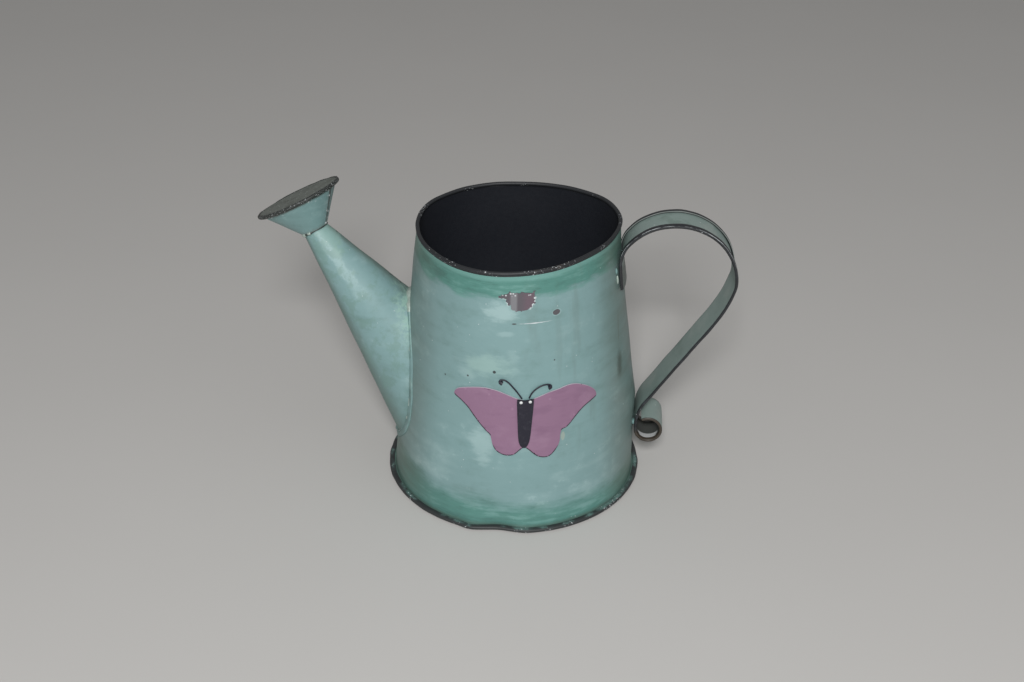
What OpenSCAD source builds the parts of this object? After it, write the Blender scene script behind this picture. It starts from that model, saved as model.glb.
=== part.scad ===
// Hand-made watering can of painted tin sheet: a tapered, soldered body, a long
// spout with a flared rose, a strap handle that ends in a scroll, and a cut-out
// butterfly on the front. Millimetres, +Z up. The origin is the centre of the
// base's underside. The spout points along -X and the handle along +X.

/* [Body] */
// Outer radius of the wall at the table
foot_r = 59; // [54:0.5:72]
// Outer radius of the wall under the rolled rim
mouth_r = 46.5; // [42:0.5:52]
// Height of the rolled rim's middle
rim_h = 129.6; // [112:0.2:156]
// Thickness of the tin sheet
sheet_t = 0.5; // [0.4:0.05:0.6]
// Tilt of the mouth, higher on the handle side, in degrees
mouth_tilt = 2; // [0:0.5:3]

/* [Rim and base seam] */
// Radius of the wire inside the rolled rim
wire_r = 0.5; // [0.4:0.05:0.8]
// Clearance round the rim wire and between the folded layers
fold_gap = 0.06; // [0.04:0.01:0.1]
// Width of the slot where the rolled rim closes on the wall
curl_slot = 0.25; // [0.1:0.05:0.4]
// Width of the flange that the base is folded over
flange_w = 1.5; // [1:0.1:2]

/* [Damage] */
// Depth of the dent in the foot, at the front
dent_depth = 2.3; // [1.5:0.1:3]
// Radius of the form that the dent follows
dent_r = 46; // [35:1:60]
// Turn of the dent from the front towards the handle, in degrees
dent_turn = -2; // [-12:1:12]
// Outward lean of the dented wall, which sets how far up it fades, in degrees
dent_lean = 8; // [6:0.5:14]
// Distance that the wall bulges out behind the handle's foot
bulge = 3.3; // [2:0.1:4]
// Height of the bulge's crest
bulge_h = 42; // [36:1:50]
// Height at which the bulge has faded into the wall
bulge_top = 117; // [100:1:120]

/* [Spout] */
// Distance from the can's axis to the tip that the spout's cone would have
spout_reach = 107.6; // [95:0.2:125]
// Height of that tip
spout_tip_h = 143.1; // [125:0.1:160]
// Rise of the spout from level, in degrees
spout_rise = 55; // [50:0.5:58]
// Angle between the spout's axis and its side, in degrees
spout_side = 13; // [11:0.5:14]
// Length that the spout's end is cut short of its tip
spout_cut = 24.5; // [20:0.5:32]
// Width of the ledge of wall left inside the spout's foot
hole_ledge = 2.5; // [1.5:0.1:4]
// Height of the solder bead over both surfaces at the spout's foot
spout_bead = 1.5; // [1:0.1:2]

/* [Rose] */
// Radius of the rose's face
rose_r = 20.6; // [17:0.2:24]
// How much wider the rose's neck is than the spout's
rose_neck_over = 0.64; // [0.5:0.02:1]
// Distance from the neck to the face
rose_depth = 17.9; // [15:0.1:22]
// Rise of the rose's axis from level, in degrees
rose_rise = 61.4; // [55:0.2:68]
// Turn of the rose's axis away from the front, in degrees
rose_turn = 21.9; // [0:0.1:25]
// Radius of one punched hole
punch_r = 0.6; // [0.4:0.1:0.9]
// Distance between the rings of holes
punch_pitch = 5; // [4:0.1:5.2]
// Number of rings of holes round the middle one
punch_rings = 3; // [1:1:3]
// Radius of the solder ring's section at the neck
neck_bead = 1.1; // [0.8:0.1:1.4]

/* [Handle] */
// Width of the handle strip
strip_w = 19; // [16:0.5:22]
// Thickness of the loosely folded edges
hem_t = 1.8; // [1.6:0.1:2.2]
// Width of the folded edges
hem_w = 3; // [2.5:0.1:4]
// Height of the lower end of the tab under the rim
tab_low = 104.5; // [98:0.5:108]
// Height at which the strip leaves the wall
tab_high = 115.4; // [112:0.2:117]
// Radius of the bend that leaves the wall
bend_up = 12.8; // [11:0.2:15]
// Radius of the bend over the top
bend_over = 27.2; // [25:0.2:30]
// Radius of the tight bend at the back
bend_back = 11.4; // [10:0.2:14]
// Radius of the long curve down to the foot
bend_long = 68; // [60:1:80]
// Radius of the bend that turns down to the foot
bend_foot = 25; // [20:0.5:30]
// Height of the upper end of the strip's foot
foot_high = 29; // [28:0.5:34]
// Height of the scroll's middle
scroll_h = 26.8; // [22:0.2:28]
// Radius of the scroll
scroll_r = 6.7; // [6:0.1:7.5]
// Angle that the scroll turns through, in degrees
scroll_turn = 300; // [270:5:310]
// Gap between the wall and the strip's foot
foot_gap = 0.5; // [0.3:0.1:0.8]
// Height of the solder in that gap
foot_bead_h = 3.2; // [2.5:0.1:4]

/* [Butterfly] */
// Turn of the butterfly from the front towards the handle, in degrees
fly_turn = 9.4; // [-20:0.2:20]
// Height of the butterfly's middle
fly_h = 57; // [50:1:75]
// Lean of the wings, in degrees
fly_lean = -3.5; // [-10:0.5:10]
// Lean of the body plate, in degrees
plate_lean = -1.5; // [-10:0.5:10]
// Gap of glue under each plate of the butterfly
glue_gap = 0.2; // [0.1:0.05:0.4]
// Radius of the antenna wire
antenna_r = 0.45; // [0.3:0.05:0.6]

/* [Hidden] */
$fn = 180;

green = [0.47, 0.62, 0.60];
dark = [0.14, 0.15, 0.16];
metal = [0.55, 0.53, 0.52];
mauve = [0.55, 0.40, 0.50];

// A length that reaches past the whole can
far = 250;

// Wall: its radius falls evenly from the table to the rim
taper = (foot_r - mouth_r) / rim_h;
taper_deg = atan(taper);
function wall_r(z) = foot_r - taper * z;

// Folded seam: three layers of sheet and two gaps
fold_h = 3 * sheet_t + 2 * fold_gap;
fold_out = flange_w + fold_gap + sheet_t;
lip_clear = 0.15;
flange_low = sheet_t + fold_gap;
lip_low = 2 * flange_low;

// Rolled rim: wire, clearance and one thickness of sheet
channel_r = wire_r + fold_gap;
curl_r = channel_r + sheet_t;
rim_ring_r = mouth_r - sheet_t / 2;
slot_turn = -60;

// Bulge: two cylinders of this radius share its crest
bulge_r = mouth_r - 0.5;
bulge_x = wall_r(bulge_h) + bulge;
bulge_lean = atan((bulge_x - wall_r(bulge_top)) / (bulge_top - bulge_h));

// Spout: the neck is the point on its axis where it is cut
neck_pos = [spout_cut * cos(spout_rise) - spout_reach, 0,
            spout_tip_h - spout_cut * sin(spout_rise)];
spout_len = (spout_tip_h - 1) / (sin(spout_rise) + tan(spout_side) * cos(spout_rise));

// Rose: the cone ends under the face in a flange
rose_flange_r = rose_r - sheet_t - fold_gap;
rose_end_r = rose_flange_r - flange_w;
rose_cone_h = rose_depth - flange_low;
rose_neck_r = spout_cut * tan(spout_side) + rose_neck_over;
rose_side = atan((rose_end_r - rose_neck_r) / rose_cone_h);

// Handle: the tab lies on the bulged wall, along the inner edges of its hems
touch = 0.05;
tab_drop = bulge_r - sqrt(pow(bulge_r, 2) - pow(strip_w / 2 - hem_w, 2));
tab_stand = hem_t - sheet_t / 2 - tab_drop + touch;
tab_start = [bulge_x - tan(bulge_lean) * (tab_low - bulge_h) + tab_stand, tab_low];
tab_len = (tab_high - tab_low) / cos(bulge_lean);
head_start = 90 + bulge_lean;

// Each point and heading along the strip follows from the last
function unit(a) = [cos(a), sin(a)];
function bend_end(p, a, r, turn) =
    p + r * (turn < 0 ? [sin(a) - sin(a + turn), cos(a + turn) - cos(a)]
                      : [sin(a + turn) - sin(a), cos(a) - cos(a + turn)]);
turn_up = -46;
turn_over = -142.5;
turn_back = -14.5;
up_from = tab_start + tab_len * unit(head_start);
over_from = bend_end(up_from, head_start, bend_up, turn_up);
back_from = bend_end(over_from, head_start + turn_up, bend_over, turn_over);
long_from = bend_end(back_from, head_start + turn_up + turn_over, bend_back, turn_back);
long_head = head_start + turn_up + turn_over + turn_back;

// The straight run is the inner tangent of the long curve and the foot's bend
foot_x = bulge_x + foot_gap + sheet_t / 2;
long_mid = long_from + bend_long * [sin(long_head), -cos(long_head)];
foot_mid = [foot_x + bend_foot, foot_high];
mid_step = foot_mid - long_mid;
run_head = atan2(mid_step.y, mid_step.x) - asin((bend_long + bend_foot) / norm(mid_step));
run_len = sqrt(pow(norm(mid_step), 2) - pow(bend_long + bend_foot, 2));

// Angle between the points along a bend, and how far the cuts run past the strip
bend_step = 5;
cut_over = 0.3;

// Steps of the strip: [length] is straight, [radius, angle] is a bend, left is plus
STRIP = [[tab_len], [bend_up, turn_up], [bend_over, turn_over], [bend_back, turn_back],
         [bend_long, run_head - long_head], [run_len], [bend_foot, -90 - run_head],
         [foot_high - scroll_h], [scroll_r, scroll_turn]];

// Solder at the handle: reach past the strip's edges, and height over the wall
solder_reach = 0.8;
solder_rise = 1.3;

// Outline of the wings, from the notch under the head, round the right wing
WINGS = [[0, 11], [3, 12], [7.5, 14.5], [15, 17], [21.5, 17.5], [27.5, 15.5], [33, 10],
         [33, 7.5], [27.5, 4.5], [23.5, 2], [20, -2], [17, -5], [17, -9.5], [16, -14],
         [13.5, -17], [8.5, -18], [4.5, -16], [0, -13], [-3.5, -15.5], [-6.5, -17],
         [-10.5, -17], [-13, -15.5], [-15, -11], [-15, -7.5], [-19, -5], [-22, -1.5],
         [-26, 3.5], [-31.5, 7.5], [-32.5, 10], [-23, 15.5], [-17, 16.5], [-11, 15.5],
         [-5, 12.5]];
// Routes of the antennae, from the head to the curled tip
LEFT_ROUTE = [[-2.8, 12.6], [-4.5, 15], [-6.5, 17.5], [-8.7, 19.8], [-10.5, 21.2],
              [-12.2, 21.2], [-12.9, 19.9], [-11.8, 18.7], [-10.3, 19]];
RIGHT_ROUTE = [[0.5, 12.9], [1.5, 15], [3.2, 17], [5, 18.3], [7.2, 19.2],
               [9.5, 19.2], [10.8, 17.9], [10, 16.8], [8.4, 17.3]];
antenna_sides = 8;

// A smooth curve through the points p: the point at share t of the span from p[i]
function at(p, i, closed) =
    p[closed ? (i + len(p)) % len(p) : min(max(i, 0), len(p) - 1)];
function on_span(p, i, t, closed) =
    let (a = at(p, i - 1, closed), b = at(p, i, closed), c = at(p, i + 1, closed),
         d = at(p, i + 2, closed))
    (2 * b + (c - a) * t + (2 * a - 5 * b + 4 * c - d) * t * t
     + (3 * b - a - 3 * c + d) * t * t * t) / 2;
function smooth_loop(p, steps) =
    [for (i = [0:len(p) - 1]) for (s = [0:steps - 1]) on_span(p, i, s / steps, true)];
function smooth_route(p, steps) =
    concat([for (i = [0:len(p) - 2]) for (s = [0:steps - 1]) on_span(p, i, s / steps, false)],
           [p[len(p) - 1]]);

// Body forms

module can_cone(offset) {
    translate([0, 0, -1])
        cylinder(h = rim_h + 11, r1 = wall_r(-1) + offset, r2 = wall_r(rim_h + 10) + offset);
}

module bulge_form(offset) {
    intersection() {
        translate([bulge_x - bulge_r, 0, flange_low])
            cylinder(h = bulge_top - flange_low, r = bulge_r + offset);
        translate([bulge_x, 0, bulge_h])
            rotate([0, -bulge_lean, 0])
                translate([-bulge_r, 0, -far / 2])
                    cylinder(h = far, r = bulge_r + offset);
    }
}

module dent_form(offset) {
    rotate([0, 0, dent_turn])
        translate([0, dent_depth - foot_r, 0])
            rotate([dent_lean, 0, 0])
                translate([0, -dent_r, -far / 4])
                    cylinder(h = far / 2, r = dent_r - offset);
}

module body_form(offset) {
    difference() {
        union() {
            can_cone(offset);
            bulge_form(offset);
        }
        dent_form(offset);
    }
}

// A dented disc that follows the foot of the wall at a distance
module foot_disc(offset, low, high) {
    difference() {
        translate([0, 0, low]) cylinder(h = high - low, r = foot_r + offset);
        dent_form(offset);
    }
}

// Carries its children to the tilted plane of the mouth
module at_rim() {
    translate([0, 0, rim_h]) rotate([0, -mouth_tilt, 0]) children();
}

module curl_section() {
    translate([rim_ring_r, 0])
        difference() {
            circle(curl_r);
            rotate(slot_turn) translate([0, -curl_slot / 2]) square([2 * curl_r, curl_slot]);
        }
}

module body_wall() {
    color(green)
    difference() {
        union() {
            difference() {
                body_form(0);
                body_form(-sheet_t);
                translate([0, 0, flange_low - far]) cylinder(h = far, r = far);
                at_rim() cylinder(h = far, r = far);
            }
            difference() {
                foot_disc(flange_w, flange_low, flange_low + sheet_t);
                body_form(-sheet_t);
            }
            at_rim() rotate_extrude() curl_section();
        }
        at_rim() rotate_extrude() translate([rim_ring_r, 0]) circle(channel_r);
        spout_form(-sheet_t - hole_ledge);
    }
}

module rim_wire() {
    color(metal)
    at_rim() rotate_extrude() translate([rim_ring_r, 0]) circle(wire_r);
}

module base_plate() {
    color(dark)
    difference() {
        foot_disc(fold_out, 0, fold_h);
        foot_disc(fold_out - sheet_t, sheet_t, lip_low);
        foot_disc(lip_clear, lip_low - sheet_t / 2, fold_h + sheet_t);
    }
}

// Spout: its axis runs from the tip down into the can

module spout_form(offset) {
    tip = offset / sin(spout_side);
    translate([-spout_reach, 0, spout_tip_h])
        rotate([0, spout_rise - 90, 0])
            translate([0, 0, -spout_len])
                cylinder(h = spout_len + tip, r1 = (spout_len + tip) * tan(spout_side), r2 = 0);
}

// Carries its children to the neck, with +Z along the rose's axis
module at_neck() {
    translate(neck_pos) rotate([0, rose_rise - 90, -rose_turn]) children();
}

module spout_cone() {
    color(green)
    difference() {
        spout_form(0);
        spout_form(-sheet_t);
        can_cone(0);
        at_neck() cylinder(h = far, r = far);
    }
}

module spout_solder() {
    color(metal)
    difference() {
        intersection() {
            spout_form(spout_bead);
            can_cone(spout_bead);
        }
        spout_form(0);
        can_cone(0);
    }
}

// Rose

module rose_form() {
    cylinder(h = rose_cone_h, r1 = rose_neck_r, r2 = rose_end_r);
}

module rose_cone() {
    thick = sheet_t / cos(rose_side);
    color(green)
    at_neck() difference() {
        union() {
            rose_form();
            translate([0, 0, rose_cone_h - sheet_t]) cylinder(h = sheet_t, r = rose_flange_r);
        }
        cylinder(h = rose_cone_h, r1 = rose_neck_r - thick, r2 = rose_end_r - thick);
    }
}

module rose_face() {
    fold_low = rose_depth - fold_h;
    color(dark)
    at_neck() difference() {
        translate([0, 0, fold_low]) cylinder(h = fold_h, r = rose_r);
        translate([0, 0, fold_low + sheet_t])
            cylinder(h = fold_h - 2 * sheet_t, r = rose_r - sheet_t);
        translate([0, 0, fold_low - sheet_t])
            cylinder(h = fold_h, r = rose_end_r + lip_clear);
        for (ring = [0:punch_rings], i = [0:max(0, 6 * ring - 1)])
            rotate([0, 0, ring == 0 ? 0 : i * 60 / ring])
                translate([ring * punch_pitch, 0, fold_low])
                    cylinder(h = 2 * fold_h, r = punch_r, $fn = 24);
    }
}

module rose_neck_solder() {
    color(metal)
    difference() {
        at_neck() rotate_extrude() translate([rose_neck_r, 0]) circle(neck_bead);
        at_neck() rose_form();
        spout_form(0);
    }
}

// Handle: the strip is drawn in the X-Y plane with its width along Z

// Points and headings along the strip's middle line, from step i onwards
function strip_path(steps, p, head, i = 0) =
    i == len(steps) ? [[p, head]] :
    let (last = len(steps[i]) - 1, turn = last > 0 ? steps[i][1] : 0,
         count = max(1, ceil(abs(turn) / bend_step)),
         here = [for (k = [0:count - 1])
             [bend_end(p, head, steps[i][0], turn * k / count), head + turn * k / count]],
         end = last > 0 ? bend_end(p, head, steps[i][0], turn) : p + steps[i][0] * unit(head))
    concat(here, strip_path(steps, end, head + turn, i + 1));

// The layer between two distances to the strip's left, run on past both ends
module layer(low, high, width, over = 0) {
    path = strip_path(STRIP, tab_start, head_start);
    last = len(path) - 1;
    function beside(q, side, on) = q[0] + side * [-sin(q[1]), cos(q[1])] + on * unit(q[1]);
    function on_at(k) = k == 0 ? -over : k == last ? over : 0;
    rotate([90, 0, 0])
        translate([0, 0, -width / 2])
            linear_extrude(width)
                polygon(concat([for (k = [0:last]) beside(path[k], low, on_at(k))],
                               [for (k = [last:-1:0]) beside(path[k], high, on_at(k))]));
}

module strip_block() {
    layer(-sheet_t / 2, hem_t - sheet_t / 2, strip_w);
}

module handle_strip() {
    hem_top = hem_t - sheet_t / 2;
    color(green)
    difference() {
        strip_block();
        layer(sheet_t / 2, hem_top - sheet_t, strip_w - 2 * sheet_t, cut_over);
        layer(sheet_t, hem_top + cut_over, strip_w - 2 * hem_w, 2 * cut_over);
    }
}

module handle_top_solder() {
    color(metal)
    difference() {
        intersection() {
            can_cone(solder_rise);
            translate([0, -strip_w / 2 - solder_reach, tab_low - solder_reach])
                cube([far, strip_w + 2 * solder_reach, tab_high - tab_low]);
        }
        body_form(0);
        strip_block();
    }
}

module handle_foot_solder() {
    color(metal)
    difference() {
        intersection() {
            bulge_form(foot_gap + sheet_t / 2);
            translate([0, 1 - strip_w / 2, scroll_h + 1])
                cube([far, strip_w - 2, foot_bead_h]);
        }
        body_form(0);
        strip_block();
    }
}

// Butterfly

// A layer over the wall, from one height above it to another
module skin(low, high) {
    difference() {
        can_cone(high);
        can_cone(low);
    }
}

// Carries a flat outline to the front of the wall and through it
module at_fly(lean) {
    rotate([0, 0, fly_turn])
        translate([0, 0, fly_h])
            rotate([90, 0, 0])
                rotate([0, 0, lean])
                    linear_extrude(far / 2) children();
}

module butterfly_wings() {
    color(mauve)
    intersection() {
        skin(glue_gap, glue_gap + sheet_t);
        at_fly(fly_lean) polygon(smooth_loop(WINGS, 3));
    }
}

module butterfly_body() {
    under = 2 * glue_gap + sheet_t;
    color(dark)
    intersection() {
        skin(under, under + sheet_t);
        at_fly(plate_lean) {
            translate([0, -9]) circle(2.6);
            polygon([[-2.6, -9], [2.6, -9], [3.8, 11], [2.8, 12], [-2.8, 12], [-3.8, 11]]);
        }
    }
}

// A wire over the wall, along a route in the wings' plane
function over_wall(p, lift) =
    let (u = p.x * cos(fly_lean) - p.y * sin(fly_lean),
         z = fly_h + p.x * sin(fly_lean) + p.y * cos(fly_lean),
         turn = fly_turn + asin(u / wall_r(z)), r = wall_r(z) + lift)
    [r * sin(turn), -r * cos(turn), z];

module antenna(route) {
    path = [for (p = smooth_route(route, 3)) over_wall(p, glue_gap + antenna_r)];
    last = len(path) - 1;
    // Across each ring lie the outward direction and its square with the wire
    rings = [for (i = [0:last])
        let (along = path[min(i + 1, last)] - path[max(i - 1, 0)],
             out = [path[i].x, path[i].y, 0] / norm([path[i].x, path[i].y]),
             side = cross(along, out) / norm(cross(along, out)),
             up = cross(side, along) / norm(cross(side, along)))
        for (k = [0:antenna_sides - 1])
            let (a = 360 * k / antenna_sides)
            path[i] + antenna_r * (cos(a) * side + sin(a) * up)];
    color(dark)
    polyhedron(rings, concat(
        [[for (k = [antenna_sides - 1:-1:0]) k]],
        [for (i = [0:last - 1], k = [0:antenna_sides - 1])
            let (a = i * antenna_sides + k, b = i * antenna_sides + (k + 1) % antenna_sides)
            [a, b, b + antenna_sides, a + antenna_sides]],
        [[for (k = [0:antenna_sides - 1]) last * antenna_sides + k]]));
}

module antenna_left() {
    antenna(LEFT_ROUTE);
}

module antenna_right() {
    antenna(RIGHT_ROUTE);
}

body_wall();
rim_wire();
base_plate();
spout_cone();
spout_solder();
rose_cone();
rose_face();
rose_neck_solder();
handle_strip();
handle_top_solder();
handle_foot_solder();
butterfly_wings();
butterfly_body();
antenna_left();
antenna_right();
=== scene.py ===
import math
import bmesh
import bpy
from mathutils import Matrix, Vector, noise


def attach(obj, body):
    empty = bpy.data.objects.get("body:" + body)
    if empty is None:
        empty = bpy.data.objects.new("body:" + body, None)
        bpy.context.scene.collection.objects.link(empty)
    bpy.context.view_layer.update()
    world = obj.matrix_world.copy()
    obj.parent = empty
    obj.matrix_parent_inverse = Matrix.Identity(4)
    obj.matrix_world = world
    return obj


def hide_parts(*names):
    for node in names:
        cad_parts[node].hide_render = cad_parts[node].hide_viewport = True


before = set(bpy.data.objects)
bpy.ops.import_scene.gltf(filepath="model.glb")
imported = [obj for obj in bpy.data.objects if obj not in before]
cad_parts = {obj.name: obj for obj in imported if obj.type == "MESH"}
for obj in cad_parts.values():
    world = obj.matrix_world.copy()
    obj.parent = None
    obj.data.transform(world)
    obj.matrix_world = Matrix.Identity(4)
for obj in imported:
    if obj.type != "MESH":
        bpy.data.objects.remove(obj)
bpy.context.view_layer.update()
print("frame loaded:", len(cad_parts), "nodes")

mm = 0.001
scene = bpy.context.scene
up = Vector((0, 0, 1))


# Shader maths is written as expressions on these
class Wire:
    # A socket that can stand in a sum: each operator adds its Math node
    def __init__(self, paint, socket):
        self.paint, self.socket = paint, socket

    def work(self, operation, *others):
        values = dict(enumerate((self,) + others))
        return self.paint.node("ShaderNodeMath", {"operation": operation}, values)

    def __add__(self, other):
        return self.work("ADD", other)

    __radd__ = __add__

    def __sub__(self, other):
        return self.work("SUBTRACT", other)

    def __rsub__(self, other):
        return self * -1 + other

    def __mul__(self, other):
        return self.work("MULTIPLY", other)

    __rmul__ = __mul__

    def __truediv__(self, other):
        return self.work("DIVIDE", other)

    def __pow__(self, other):
        return self.work("POWER", other)


class Paint:
    def __init__(self, name):
        self.material = bpy.data.materials.new(name)
        self.material.use_nodes = True
        self.tree = self.material.node_tree
        self.shader = self.tree.nodes["Principled BSDF"]
        place = self.node("ShaderNodeTexCoord", {}, {}, "Object")
        # Millimetres are easier to think in than metres
        self.spot = self.vector("SCALE", place, scale=1 / mm)
        self.x, self.y, self.z = self.parts(self.spot)

    def feed(self, node, values):
        for key, value in values.items():
            if isinstance(value, Wire):
                self.tree.links.new(value.socket, node.inputs[key])
            else:
                node.inputs[key].default_value = value

    def node(self, kind, settings, values, output=0):
        made = self.tree.nodes.new(kind)
        for name, value in settings.items():
            setattr(made, name, value)
        self.feed(made, values)
        return Wire(self, made.outputs[output])

    def vector(self, operation, *inputs, scale=None):
        values = dict(enumerate(inputs))
        if scale is not None:
            values["Scale"] = scale
        return self.node("ShaderNodeVectorMath", {"operation": operation}, values)

    def parts(self, vector):
        made = self.node("ShaderNodeSeparateXYZ", {}, {0: vector}).socket.node
        return [Wire(self, made.outputs[k]) for k in range(3)]

    def lay(self):
        # The three values that a piece keeps at each of its corners
        return self.parts(self.node("ShaderNodeAttribute", {"attribute_name": "lay"}, {}, "Vector"))

    def grain(self, size, detail=3, rough=0.55, stretch=(1, 1, 1), shift=0):
        # Soft noise from 0 to 1, its patches about size millimetres across
        scale = tuple(s / size for s in stretch)
        spot = self.vector("MULTIPLY", self.spot, scale)
        spot = self.vector("ADD", spot, (shift, shift * 0.7, -shift))
        return self.node("ShaderNodeTexNoise", {},
                         {"Vector": spot, "Scale": 1, "Detail": detail, "Roughness": rough})

    def cells(self, size, shift=0):
        # 0 at scattered points about size millimetres apart, growing away from each
        spot = self.vector("SCALE", self.spot, scale=1 / size)
        spot = self.vector("ADD", spot, (shift, shift, shift))
        return self.node("ShaderNodeTexVoronoi", {}, {"Vector": spot, "Scale": 1}, "Distance")

    def step(self, value, low, high):
        # 0 below low, 1 above high, smooth between; low above high turns it round
        if low > high:
            return 1 - self.step(value, high, low)
        return self.node("ShaderNodeMapRange", {"interpolation_type": "SMOOTHSTEP"},
                         {"Value": value, "From Min": low, "From Max": high})

    def lower(self, first, *others):
        return first.work("MINIMUM", self.lower(*others)) if others else first

    def higher(self, first, *others):
        return first.work("MAXIMUM", self.higher(*others)) if others else first

    def mix(self, share, a, b):
        made = self.node("ShaderNodeMix", {"data_type": "RGBA"}, {0: share, 6: a, 7: b})
        return Wire(self, made.socket.node.outputs[2])

    def layers(self, base, *coats):
        for share, shade in coats:
            base = self.mix(share, base, shade)
        return base

    def finish(self, colour, roughness, height=None, depth=0.1, metallic=None):
        values = {"Base Color": colour, "Roughness": roughness}
        if metallic is not None:
            values["Metallic"] = metallic
        if height is not None:
            # The height is in millimetres
            values["Normal"] = self.node("ShaderNodeBump", {},
                                         {"Height": height, "Strength": 1.0,
                                          "Distance": depth * mm}, "Normal")
        self.feed(self.shader, values)
        return self.material


def shade(red, green, blue):
    # An on-screen colour, 0 to 255, as the linear colour that a shader needs
    def linear(c):
        c = c / 255
        return c / 12.92 if c < 0.04045 else ((c + 0.055) / 1.055) ** 2.4
    return (linear(red), linear(green), linear(blue), 1)


# Shape helpers, all in millimetres
def ease(t):
    # From 0 to 1, starting and ending gently
    t = min(max(t, 0), 1)
    return t * t * (3 - 2 * t)


def ripple(point, size, shift=0):
    return noise.noise(Vector(point) / size + Vector((shift, 1.7 * shift, -shift)))


def wrapped(turn):
    return (turn + 180) % 360 - 180


def turnOf(point):
    # Degrees round the can from the front towards the handle
    return math.degrees(math.atan2(point.x, -point.y))


def newest(geometry, kind):
    return [g for g in geometry if isinstance(g, kind)]


def lathe(outline, steps, closed):
    # Spins a radius-height outline round Z
    bm = bmesh.new()
    verts = [bm.verts.new((r, 0, z)) for r, z in outline]
    pairs = list(zip(verts, verts[1:])) + ([(verts[-1], verts[0])] if closed else [])
    edges = [bm.edges.new(pair) for pair in pairs]
    bmesh.ops.spin(bm, geom=verts + edges, cent=(0, 0, 0), axis=up, angle=math.tau,
                   steps=steps, use_merge=True, use_duplicate=False)
    bmesh.ops.remove_doubles(bm, verts=bm.verts, dist=1e-4)
    bmesh.ops.recalc_face_normals(bm, faces=bm.faces)
    return bm


def loft(around, rows, place, mark=None, capped=True, closed=False):
    # Extrudes a ring row by row, then place(i, j) says where each corner goes and
    # mark(i, j) what it keeps as its lay
    bm = bmesh.new()
    lay = mark and bm.verts.layers.float_vector.new("lay")
    bmesh.ops.create_circle(bm, segments=around, radius=1)
    edges = list(bm.edges)
    for _ in range(rows - 1):
        made = bmesh.ops.extrude_edge_only(bm, edges=edges)["geom"]
        verts = newest(made, bmesh.types.BMVert)
        fresh = set(verts)
        edges = [e for e in newest(made, bmesh.types.BMEdge) if set(e.verts) <= fresh]
        bmesh.ops.translate(bm, vec=up, verts=verts)
    if closed:
        bmesh.ops.bridge_loops(bm, edges=[e for e in bm.edges if e.is_boundary])
    for v in bm.verts:
        i, j = round(math.atan2(v.co.y, v.co.x) / math.tau * around) % around, round(v.co.z)
        v.co = place(i, j)
        if mark:
            v[lay] = mark(i, j)
    if capped:
        bmesh.ops.holes_fill(bm, edges=[e for e in bm.edges if e.is_boundary], sides=0)
    bmesh.ops.recalc_face_normals(bm, faces=bm.faces)
    return bm


def addPiece(name, bm, materials, nodes=(), sharp=40):
    bmesh.ops.scale(bm, vec=(mm, mm, mm), verts=bm.verts)
    mesh = bpy.data.meshes.new(name)
    bm.to_mesh(mesh)
    bm.free()
    for material in materials:
        mesh.materials.append(material)
    mesh.shade_smooth()
    mesh.set_sharp_from_angle(angle=math.radians(sharp))
    piece = bpy.data.objects.new(name, mesh)
    scene.collection.objects.link(piece)
    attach(piece, "root")
    if nodes:
        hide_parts(*nodes)
    print("piece:", name, len(mesh.polygons), "faces")
    return piece


# Body wall. Its measures stand here because its paint follows them
body = {
    "footRadius": 59, "mouthRadius": 46.5, "rimHeight": 129.6, "sheet": 0.5,
    "tilt": 2.0,                                   # degrees, higher on the handle side
    "lobes": 3, "lobeDepth": 1.6, "lobeTurn": -7,  # the mouth isn't round
    "bulge": 3.3, "bulgeHeight": 42, "bulgeTop": 117, "bulgeWidth": 27,
    "dent": 2.3, "dentTurn": -2, "dentWidth": 13, "dentFade": 9,
    "kink": 0.7, "kinkTurn": -16, "kinkWidth": 4,
    "beadRadius": 0.95, "beadStart": -72, "beadTurn": 324, "beadWaves": 0.16,
    "flange": 1.5, "flangeHeight": 0.56, "waves": 0.28, "steps": 288,
}


def nominal(height):
    fall = (body["footRadius"] - body["mouthRadius"]) / body["rimHeight"]
    return body["footRadius"] - fall * height


# Colours
tones = {
    "body": shade(127, 159, 160), "bodyPale": shade(162, 190, 190),
    "bodyDeep": shade(102, 133, 129), "band": shade(76, 132, 121),
    "bandPale": shade(112, 162, 153), "bandDeep": shade(54, 100, 90),
    "grimeAndShade": shade(92, 98, 86), "leaf": shade(150, 184, 172),
    "bare": shade(92, 87, 93), "bareLight": shade(124, 124, 128), "chalk": shade(222, 228, 230),
    "black": shade(38, 40, 43), "blackBrown": shade(60, 54, 48), "inside": shade(27, 30, 37),
    "mauve": shade(142, 109, 134), "mauvePale": shade(160, 129, 152),
    "mauveDeep": shade(126, 94, 120), "insect": shade(29, 28, 42),
    "handle": shade(134, 151, 146), "handlePale": shade(156, 166, 161),
    "handleDeep": shade(112, 130, 122), "olive": shade(110, 116, 110), "oliveDeep": shade(84, 89, 82),
    "solder": shade(170, 184, 176), "solderDark": shade(130, 148, 138),
    "cream": shade(208, 222, 210), "soot": shade(58, 62, 60),
}

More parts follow.
